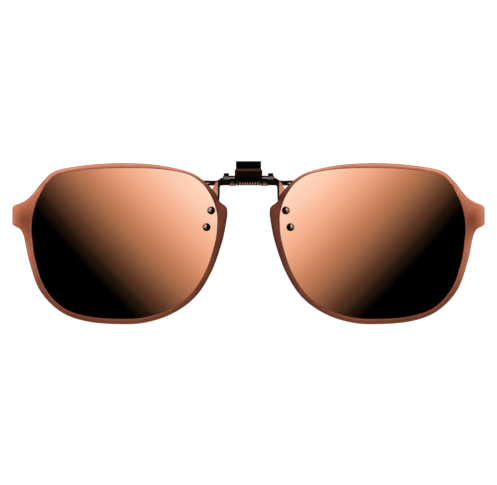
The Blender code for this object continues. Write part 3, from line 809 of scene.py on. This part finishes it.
def make_spring(material):
    """A fixed coil on no body; the real one turns with the lever at one end and stays with the box at
    the other.
    """
    turns = COIL_TURNS * COIL_STEPS
    top = COIL_Z + COIL_R
    points = [(-COIL_HALF, ROD_Y - COIL_LEG_FRONT, top)]
    for step in range(turns + 1):
        angle = math.tau * step / COIL_STEPS
        x = -COIL_HALF + 2 * COIL_HALF * step / turns
        points.append((x, ROD_Y + COIL_R * math.sin(angle), COIL_Z + COIL_R * math.cos(angle)))
    points.append((COIL_HALF, ROD_Y + COIL_LEG_BACK, top))
    spring = wire("torsion_spring_look", points, COIL_WIRE_R)
    shade(spring, WIRE_CREASE)
    finish_piece(spring, [material], "torsion_spring")
    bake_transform(spring)


def make_thumb_lever(material):
    def half_width(z):
        return TAB_HALF if z > TAB_SHOULDER_Z else LEVER_HALF - CHEEK_THICK / 2

    arch = TAB_PROFILE[:3] + tuple(tuple(p) for p in smooth_profile(TAB_PROFILE[3:]))
    lever = bent_sheet("thumb_lever_look", arch, TAB_SHEET, half_width)
    wall_x = LEVER_HALF - CHEEK_THICK / 2
    combine(lever, [cheek("wall", LEVER_CHEEK, x) for x in (wall_x, -wall_x)], "UNION")
    reach = LEVER_HALF + 1
    bores = [hinge_rod("bore", -reach, reach, BORE_R),
             hinge_rod("wire_bore", -reach, reach, UPPER_WIRE_R + GAP, UPPER_WIRE_SPOT)]
    combine(lever, bores, "DIFFERENCE")
    outline = [(side * LEVER_BAR_HALF, z) for side, z in (
        (-1, LEVER_BAR_LOW), (1, LEVER_BAR_LOW), (1, LEVER_BAR_TOP), (-1, LEVER_BAR_TOP))]
    bar = plate("bar", outline, CHEEK_THICK, lambda a, b, d: (a, ROD_Y + LEVER_BAR_Y + d, b))
    bevel(bar, BAR_BEVEL)
    combine(lever, [bar], "UNION")
    shade(lever)
    finish_piece(lever, [material], "thumb_lever", "thumb_lever")


def make_claw_wires(lower_look, upper_look):
    lower = wire("lower_claw_wire_look_left", smooth_route(LOWER_ROUTE), LOWER_WIRE_R)
    shade(lower, WIRE_CREASE)
    both_sides(lower, [lower_look], "lower_claw_wire", "clip_base")
    half = smooth_route(UPPER_ROUTE)
    other = [Vector((-p.x, p.y, p.z)) for p in reversed(half[1:])]
    upper = wire("upper_claw_wire_look", other + half[1:], UPPER_WIRE_R)
    shade(upper, WIRE_CREASE)
    finish_piece(upper, [upper_look], "upper_claw_wire", "thumb_lever")


def make_sleeve(name, route, wire_r, faces_back, material, body):
    """A soft moulded tube with a domed tip, two grip rings and a flat for the spectacle lens."""
    tip, before = Vector(route[-1]), Vector(route[-2])
    line = (tip - before).normalized()
    end = tip + line * SLEEVE_TIP
    start = end - line * SLEEVE_LENGTH
    bore = wire_r + GAP
    depth = SLEEVE_LENGTH - SLEEVE_TIP + GAP
    profile = [(0.0, depth), (bore, depth), (bore, SLEEVE_MOUTH), (bore + SLEEVE_MOUTH, 0.0),
               (SLEEVE_R - SLEEVE_MOUTH, 0.0), (SLEEVE_R, SLEEVE_MOUTH)]
    for ring in GRIP_RINGS:
        profile += [(SLEEVE_R, ring - GRIP_RING_HALF), (SLEEVE_R - GRIP_RING_DEPTH, ring),
                    (SLEEVE_R, ring + GRIP_RING_HALF)]
    for a in quarter_turn(8)[:-1]:
        profile.append((SLEEVE_R * math.cos(a),
                        SLEEVE_LENGTH - SLEEVE_DOME + SLEEVE_DOME * math.sin(a)))
    profile.append((0.0, SLEEVE_LENGTH))
    sleeve = lathe(name + "_look_left", profile, along(start, end))
    side = 1 if faces_back else -1
    flat = (tip.y + side * GRIP_FLAT) * MM
    for vertex in sleeve.data.vertices:
        if (vertex.co.y - flat) * side > 0:
            vertex.co.y = flat
    shade(sleeve)
    both_sides(sleeve, [material], name, body)


# ---- node trees
class Nodes:
    """A node tree with short ways to add to it."""

    def __init__(self, tree):
        self.tree = tree

    def feed(self, node, key, value):
        socket = node.inputs[key]
        if isinstance(value, bpy.types.NodeSocket):
            self.tree.links.new(value, socket)
        else:
            socket.default_value = value

    def feed_in_order(self, node, values):
        for socket, value in zip(node.inputs, values):
            self.feed(node, socket.name, value)
        return node.outputs[0]

    def node(self, kind, **inputs):
        node = self.tree.nodes.new(kind)
        for key, value in inputs.items():
            self.feed(node, key.replace("_", " "), value)
        return node

    def math(self, operation, first, second=0.0):
        node = self.tree.nodes.new("ShaderNodeMath")
        node.operation = operation
        self.feed(node, 0, first)
        self.feed(node, 1, second)
        return node.outputs[0]

    def plus(self, first, second):
        return self.math("ADD", first, second)

    def minus(self, first, second):
        return self.math("SUBTRACT", first, second)

    def times(self, first, second):
        return self.math("MULTIPLY", first, second)

    def most(self, first, second):
        return self.math("MAXIMUM", first, second)

    def parts(self, vector):
        return self.node("ShaderNodeSeparateXYZ", Vector=vector).outputs

    def remap(self, value, low, high, to_low=0.0, to_high=1.0, smooth=False):
        """From to_low at low to to_high at high, and no further."""
        node = self.tree.nodes.new("ShaderNodeMapRange")
        if smooth:
            node.interpolation_type = "SMOOTHSTEP"
        return self.feed_in_order(node, (value, low, high, to_low, to_high))

    def window(self, value, start, full, fade, end):
        """0 before start and after end, 1 from full to fade."""
        rise = self.remap(value, start, full, smooth=True)
        return self.times(rise, self.remap(value, end, fade, smooth=True))

    def ramp(self, value, stops):
        node = self.tree.nodes.new("ShaderNodeValToRGB")
        self.feed(node, 0, value)
        elements = node.color_ramp.elements
        while len(elements) < len(stops):
            elements.new(0.5)
        for element, (position, colour) in zip(elements, stops):
            element.position = position
            element.color = (*colour, 1.0)
        return node.outputs[0]

    def mix(self, share, first, second, blend="MIX"):
        node = self.tree.nodes.new("ShaderNodeMixRGB")
        node.blend_type = blend
        return self.feed_in_order(node, (share, first, second))

    def tinted(self, colour, tint):
        return self.mix(1.0, colour, tint, "MULTIPLY")


class Look(Nodes):
    """A node material with its Principled shader and object-space coordinates."""

    def __init__(self, name, colour, roughness, metallic):
        self.material = bpy.data.materials.new(name)
        self.material.use_nodes = True
        super().__init__(self.material.node_tree)
        self.shader = self.tree.nodes["Principled BSDF"]
        spot = self.tree.nodes.new("ShaderNodeTexCoord")
        self.place = spot.outputs["Object"]
        self.facing = spot.outputs["Normal"]
        self.set("Base Color", (*colour, 1.0))
        self.set("Roughness", roughness)
        self.set("Metallic", metallic)

    def set(self, socket, value):
        self.shader.inputs[socket].default_value = value

    def link(self, source, socket):
        self.tree.links.new(source, self.shader.inputs[socket])

    def colour(self, source):
        self.link(source, "Base Color")

    def gloss(self, cloud, low, high):
        self.link(self.remap(cloud, 0.3, 0.7, low, high), "Roughness")

    def paint(self):
        """The colour so far."""
        return self.shader.inputs["Base Color"].links[0].from_socket

    def add_highlight(self, share, metal):
        """Paint a highlight: mix another colour over the one so far."""
        self.colour(self.mix(share, self.paint(), metal))

    def across(self):
        """|x| and z in object space."""
        x, _, z = self.parts(self.place)
        return self.math("ABSOLUTE", x), z

    def up(self):
        """How far a surface faces up, from -1 to 1."""
        return self.parts(self.facing)["Z"]

    def noise(self, scale, detail=2.0, stretch=None):
        place = self.place
        if stretch:
            mapping = self.node("ShaderNodeMapping", Vector=place, Scale=stretch)
            place = mapping.outputs[0]
        return self.node("ShaderNodeTexNoise", Vector=place, Scale=scale, Detail=detail).outputs[0]

    def cloudy(self, dark, light, scale=1300.0, detail=4.0):
        return self.ramp(self.noise(scale, detail), ((0.3, dark), (0.7, light)))

    def bump(self, height, strength, distance):
        node = self.node("ShaderNodeBump", Height=height, Strength=strength, Distance=distance * MM)
        self.link(node.outputs[0], "Normal")

    def span(self, place, low, high, to_low=0.0, to_high=1.0):
        """A remap of a place in space, with low and high in mm."""
        return self.remap(place, low * MM, high * MM, to_low, to_high)

    def band(self, value, low, high, soft):
        """1 between low and high, fading to 0 over soft on either side."""
        rise = self.remap(value, low - soft, low)
        return self.times(rise, self.remap(value, high, high + soft, 1.0, 0.0))

    def patch(self, x, z, spot, radius, depth):
        """A soft round patch: depth at its middle, nothing at its radius, in mm."""
        across = self.math("POWER", self.minus(x, spot[0] * MM), 2.0)
        along = self.math("POWER", self.minus(z, spot[1] * MM), 2.0)
        reach = self.math("SQRT", self.plus(across, along))
        return self.remap(reach, 0.0, radius * MM, depth, 0.0)


# ---- materials
def rim_light_level(look, x, z):
    """How light the rims' coat is painted, in stops: painted light and shade by place, and random
    tone.
    """
    # painted light and shade: lighter outwards, upwards and in soft patches
    side = look.times(look.minus(x, LENS_CENTRE.x * MM), RIM_LIGHT_OUTWARD / MM)
    side = look.times(side, look.band(z, -22.0 * MM, -8.0 * MM, 18.0 * MM))
    height = look.times(look.plus(z, 19.5 * MM), RIM_LIGHT_UPWARD / MM)
    level = look.plus(side, height)
    for place, low, high, to_low, to_high in (
        (x, 7.0, 20.0, -0.75, 0.0), (x, 36.0, 50.0, 0.0, 0.2),
        (z, -36.0, -28.0, -0.12, 0.0), (x, 67.2, 69.2, 0.0, 0.42),
    ):
        level = look.plus(level, look.span(place, low, high, to_low, to_high))
    for spot, radius, depth in RIM_LIGHT_PATCHES:
        level = look.plus(level, look.patch(x, z, spot, radius, depth))
    return look.plus(level, look.remap(look.noise(140.0, 3.0), 0.3, 0.7, -0.1, 0.1))


def rim_colour(look):
    """Copper brown, with painted shade towards the nose and painted light towards the temples."""
    x, z = look.across()
    colour = look.ramp(look.remap(rim_light_level(look, x, z), -2.0, 1.2), COAT_SHADE_TONES)
    # redder tints at the nose and the lug, part of the painted light and shade
    nose = look.patch(x, z, (9.0, -8.0), 9.0, 1.0)
    colour = look.mix(nose, colour, look.tinted(colour, (1.0, 0.78, 0.62, 1.0)))
    lug = look.math("MINIMUM", look.patch(x, z, (66.4, -15.0), 17.0, 1.9), 1.0)
    colour = look.mix(lug, colour, look.tinted(colour, (1.0, 0.87, 0.77, 1.0)))
    return look.tinted(colour, look.remap(look.noise(2600.0, 2.0), 0.35, 0.65, 0.92, 1.07))


def rim_look():
    """Satin metallic coat."""
    look = Look("rim_copper", (0.3, 0.12, 0.07), 0.36, 0.85)
    look.colour(rim_colour(look))
    look.gloss(look.noise(900.0, 3.0), 0.3, 0.4)
    look.set("Coat Weight", 0.08)
    look.set("Coat Roughness", 0.2)
    look.bump(look.noise(3200.0, 2.0), 0.05, 0.01)
    return look.material


def lip_look():
    """The lip's edge: the same coat, with a painted grey metal highlight on the temple side."""
    look = Look("rim_lip", (0.3, 0.12, 0.07), 0.3, 1.0)
    x, z = look.across()
    # painted highlight: grey metal on the temple side of the lip
    painted_highlight = look.times(look.span(x, 56.0, 63.0), look.span(z, -8.0, -4.0, 1.0, 0.0))
    look.colour(look.mix(painted_highlight, rim_colour(look), (0.50, 0.41, 0.36, 1.0)))
    look.gloss(look.noise(900.0, 3.0), 0.25, 0.35)
    return look.material


def mirror_look():
    """Bronze mirror coat with a painted reflection: peach at the nose and top, deep copper outside.
    """
    look = Look("lens_mirror_front", (0.9, 0.4, 0.2), 0.03, 1.0)
    x, z = look.across()
    # painted reflection: the colour runs along the lens's diagonal
    colour = look.ramp(look.span(look.minus(x, z), 16.0, 70.5), MIRROR_REFLECTION_TONES)
    haze = look.remap(look.noise(60.0, 4.0), 0.3, 0.7, 0.975, 1.0)
    look.colour(look.tinted(colour, haze))
    smear = look.noise(220.0, 3.0, stretch=(1.0, 1.0, 3.0))
    look.link(look.remap(smear, 0.35, 0.75, 0.025, 0.055), "Roughness")
    return look.material


def tint_look():
    """The lens's back and edge: brown polycarbonate under a hard coat."""
    look = Look("lens_tint_back", (0.045, 0.018, 0.009), 0.07, 0.0)
    x, z = look.across()
    tones = ((0.0, (0.11, 0.045, 0.022)), (1.0, (0.028, 0.011, 0.006)))
    look.colour(look.ramp(look.span(look.minus(x, z), 0.0, 90.0), tones))
    look.link(look.remap(look.noise(180.0, 3.0), 0.35, 0.7, 0.04, 0.09), "Roughness")
    look.set("IOR", 1.586)
    look.set("Coat Weight", 0.6)
    look.set("Coat Roughness", 0.03)
    return look.material


def paint_look(name, dark, light, ior):
    """Black paint with light tumbling marks."""
    look = Look(name, dark, 0.3, 0.0)
    look.colour(look.ramp(look.noise(1500.0, 4.0), ((0.3, dark), (0.75, light))))
    look.gloss(look.noise(800.0, 3.0), 0.22, 0.34)
    look.set("IOR", ior)
    look.bump(look.noise(2200.0, 2.0), 0.04, 0.01)
    return look


def box_look():
    """Brown-black stamping: painted bronze highlight on its top bend, painted metal glints on its
    crimp ears.
    """
    look = paint_look("box_paint", (0.0022, 0.0005, 0.0003), (0.0042, 0.0012, 0.0007), 1.06)
    x, z = look.across()
    # painted highlight: bronze where the top bend faces up
    bend = look.band(look.up(), 0.35, 0.85, 0.2)
    # painted shade: darker towards the bottom of the box
    shaded = look.tinted(look.paint(), look.span(z, -0.6, 0.8, 0.08, 1.0))
    painted_highlight = look.mix(bend, shaded, (0.085, 0.038, 0.023, 1.0))
    # painted highlights: metal on the ears' undersides, and in one spot in front
    ear = look.times(look.span(x, BOX_HALF + 0.02, BOX_HALF + 0.06),
                     look.span(z, -2.3, -1.9, 1.0, 0.05))
    ear = look.most(ear, look.patch(x, z, (4.85, -1.45), 0.27, 1.2))
    ear = look.times(ear, look.span(z, -1.43, -1.2, 1.0, 0.0))
    highlight_paint = look.cloudy((0.36, 0.175, 0.11), (0.56, 0.29, 0.19))
    look.colour(look.mix(ear, painted_highlight, highlight_paint))
    look.link(look.most(ear, bend), "Metallic")
    return look.material


def lever_look():
    """Black paint, with a painted bronze highlight under the cheeks."""
    look = paint_look("tab_paint", (0.0006, 0.0005, 0.0005), (0.0014, 0.001, 0.001), 1.045)
    x, z = look.across()
    # painted highlight: bronze on the cheeks' downward faces
    foot = look.times(look.span(x, 3.3, 3.36), look.span(z, -2.1, -1.8, 1.0, 0.0))
    foot = look.times(foot, look.remap(look.up(), -0.3, -0.6))
    bronze = look.cloudy((0.55, 0.33, 0.19), (0.80, 0.52, 0.34))
    look.add_highlight(foot, bronze)
    look.link(foot, "Metallic")
    return look.material


def nickel_look(name, dark, light):
    """Polished dark plating with fine cloudy marks."""
    look = Look(name, dark, 0.16, 1.0)
    look.colour(look.cloudy(dark, light))
    look.gloss(look.noise(700.0, 3.0), 0.12, 0.22)
    look.set("Specular Tint", PLATE_EDGE)
    look.bump(look.noise(2200.0, 2.0), 0.03, 0.01)
    return look


def bracket_look():
    """Black plating, with a painted highlight on the knuckle and a painted copper reflection down the
    arm.
    """
    look = nickel_look("bracket_plate", (0.004, 0.002, 0.0015), (0.009, 0.005, 0.004))
    x, z = look.across()
    _, forward, _ = look.parts(look.facing)
    # painted highlight: a light band across the knuckle
    knuckle = look.times(look.span(x, KNUCKLE_OUT - 0.1, KNUCKLE_OUT + 0.2, 1.0, 0.0),
                         look.band(z, -0.5 * MM, -0.1 * MM, 0.3 * MM))
    glint_colour = look.cloudy((0.14, 0.1, 0.082), (0.2, 0.15, 0.125))
    colour = look.mix(knuckle, look.paint(), glint_colour)
    # painted reflection: copper on the arm's front
    arm = look.times(look.span(x, 9.0, 9.08), look.band(z, -7.0 * MM, -1.7 * MM, 0.5 * MM))
    front = look.remap(forward, -0.85, -0.95)
    copper = look.cloudy((0.50, 0.19, 0.115), (0.62, 0.26, 0.17), 700.0, 3.0)
    look.colour(look.mix(look.times(front, arm), colour, copper))
    return look.material


def rod_look():
    """Dark pin, with a painted highlight along its lower sides."""
    look = nickel_look("rod_nickel", (0.012, 0.007, 0.005), (0.035, 0.024, 0.02))
    # painted highlight along the pin's lower sides
    painted_glint = look.band(look.up(), -0.95, -0.5, 0.12)
    look.add_highlight(painted_glint, (0.58, 0.5, 0.46, 1.0))
    return look.material


def steel_look(name, colour, roughness):
    """Drawn steel with fine lines round the wire."""
    look = Look(name, colour, roughness, 1.0)
    lines = look.noise(900.0, 3.0, stretch=(12.0, 1.0, 1.0))
    light = tuple(min(1.0, part * 1.35) for part in colour)
    dark = tuple(part * 0.7 for part in colour)
    look.colour(look.ramp(lines, ((0.3, dark), (0.7, light))))
    look.gloss(lines, roughness - 0.05, roughness + 0.1)
    look.bump(lines, 0.1, 0.02)
    return look


def spring_look():
    """Drawn bronze wire, with painted shade everywhere but the lit underside of the coil."""
    look = steel_look("spring_bronze", (0.74, 0.42, 0.25), 0.22)
    look.set("Specular Tint", SPRING_EDGE)
    # painted shade: all but the coil's downward faces are darkened
    look.colour(look.tinted(look.paint(), look.remap(look.up(), -0.58, -0.82, 0.05, 1.0)))
    return look.material


def rivet_look():
    """Polished black head, with a painted bronze highlight on the side towards the temple."""
    look = nickel_look("rivet_plate", (0.008, 0.002, 0.001), (0.018, 0.006, 0.003))
    sideways, _, _ = look.parts(look.place)
    right, _, up = look.parts(look.facing)
    outward = look.times(right, look.math("SIGN", sideways))
    # painted highlight: bronze on the dome's side towards the temple
    painted_glint = look.times(look.remap(outward, -0.1, 0.18), look.remap(up, -0.5, -0.1))
    bronze = look.cloudy((0.80, 0.51, 0.37), (0.92, 0.62, 0.46), 900.0, 3.0)
    look.add_highlight(painted_glint, bronze)
    return look.material


def sleeve_look():
    """Matte soft sleeve."""
    look = Look("soft_sleeve", (0.02, 0.02, 0.022), 0.6, 0.0)
    grain = look.noise(2500.0, 4.0)
    tones = ((0.3, (0.014, 0.014, 0.016)), (0.7, (0.03, 0.03, 0.033)))
    look.colour(look.ramp(grain, tones))
    look.gloss(grain, 0.5, 0.68)
    look.bump(grain, 0.2, 0.02)
    return look.material


def nylon_look():
    """Natural nylon, a little translucent."""
    look = Look("nylon_washer", (0.62, 0.58, 0.52), 0.45, 0.0)
    grain = look.noise(1200.0, 3.0)
    tones = ((0.3, (0.56, 0.52, 0.46)), (0.7, (0.66, 0.62, 0.56)))
    look.colour(look.ramp(grain, tones))
    look.gloss(grain, 0.4, 0.52)
    look.set("Subsurface Weight", 0.2)
    look.set("Subsurface Scale", 0.0005)
    return look.material


# ---- camera, floor and light
def make_camera():
    low, high = cad_bounds
    camera = bpy.data.cameras.new("camera")
    camera.lens = CAMERA_LENS
    camera.clip_start = 0.01
    camera.clip_end = 20.0
    eye = bpy.data.objects.new("camera", camera)
    eye.location = (0.0, -CAMERA_DISTANCE * MM, (low[2] + high[2]) / 2)
    eye.rotation_euler = (math.radians(90), 0.0, 0.0)
    bpy.context.scene.collection.objects.link(eye)
    bpy.context.scene.camera = eye


def make_floor():
    shape = bmesh.new()
    bmesh.ops.create_grid(shape, x_segments=8, y_segments=8, size=FLOOR_HALF * MM)
    floor = to_object("floor", shape)
    floor.location.z = cad_bounds[0][2] - FLOOR_DROP * MM
    look = Look("floor_paper", (0.9, 0.9, 0.9), 0.9, 0.0)
    look.colour(look.cloudy((0.9, 0.9, 0.9), (0.93, 0.93, 0.93), 30.0, 2.0))
    look.set("Specular IOR Level", 0.0)
    look.set("Emission Color", (1.0, 1.0, 1.0, 1.0))
    look.set("Emission Strength", FLOOR_GLOW)
    floor.data.materials.append(look.material)
    floor.visible_glossy = False


def make_light(name, place, size, power):
    lamp = bpy.data.lights.new(name, "AREA")
    lamp.shape = "DISK"
    lamp.size = size
    lamp.energy = power
    light = bpy.data.objects.new(name, lamp)
    light.location = place
    light.rotation_euler = (LIGHT_AIM - Vector(place)).to_track_quat("-Z", "Y").to_euler()
    light.visible_glossy = False
    bpy.context.scene.collection.objects.link(light)


def make_world():
    """White behind everything; what lights and reflects is a soft box above the front."""
    world = bpy.data.worlds.new("studio")
    bpy.context.scene.world = world
    world.use_nodes = True
    sky = Nodes(world.node_tree)

    def grey(stops):
        return [(position, (level, level, level)) for position, level in stops]

    x, y, z = sky.parts(sky.node("ShaderNodeTexCoord").outputs["Generated"])
    front = sky.remap(y, FRONT_FROM, FRONT_FULL, smooth=True)
    ahead = sky.most(sky.times(y, -1.0), 0.1)
    sideways = sky.math("ABSOLUTE", x)
    slope = sky.math("DIVIDE", sky.minus(sideways, z), ahead)
    low, high = FRONT_BOX[0][0], FRONT_BOX[-1][0]
    stops = grey([((slope_at - low) / (high - low), level) for slope_at, level in FRONT_BOX])
    box_light = sky.ramp(sky.remap(slope, low, high), stops)
    aside = sky.math("DIVIDE", sideways, ahead)
    above = sky.math("DIVIDE", z, ahead)
    lamp = sky.times(sky.window(aside, *LAMP_ASIDE), sky.window(above, *LAMP_ABOVE))
    box_light = sky.most(box_light, lamp)
    table = sky.remap(above, TABLE_FROM, TABLE_FULL, smooth=True)
    box_light = sky.most(box_light, sky.times(table, TABLE_LEVEL))
    studio = sky.ramp(sky.remap(z, -1.0, 1.0), grey(STUDIO))
    seen = sky.node("ShaderNodeLightPath").outputs["Is Camera Ray"]
    whole = sky.mix(seen, sky.mix(front, studio, box_light), (1.0, 1.0, 1.0, 1.0))
    background = sky.tree.nodes["Background"]
    sky.tree.links.new(whole, background.inputs["Color"])
    background.inputs["Strength"].default_value = STUDIO_STRENGTH


# ---- build
bpy.context.scene.view_settings.view_transform = "Standard"
make_camera()
make_floor()
make_world()
for light in LIGHTS:
    make_light(*light)

make_rims(rim_look(), lip_look())
make_lenses(mirror_look(), tint_look())
make_rivets(rivet_look(), nylon_look())
make_brackets(bracket_look())
make_rod(rod_look())
make_spring_box(box_look())
make_bush(steel_look("bush_steel", (0.3, 0.28, 0.26), 0.3).material)
make_spring(spring_look())
make_thumb_lever(lever_look())
lower_plate = nickel_look("lower_wire_plate", (0.022, 0.006, 0.0015), (0.04, 0.012, 0.004))
upper_plate = nickel_look("upper_wire_plate", (0.02, 0.009, 0.005), (0.04, 0.02, 0.012))
make_claw_wires(lower_plate.material, upper_plate.material)
sleeve = sleeve_look()
make_sleeve("lower_claw_sleeve", LOWER_ROUTE, LOWER_WIRE_R, True, sleeve, "clip_base")
make_sleeve("upper_claw_sleeve", UPPER_ROUTE, UPPER_WIRE_R, False, sleeve, "thumb_lever")
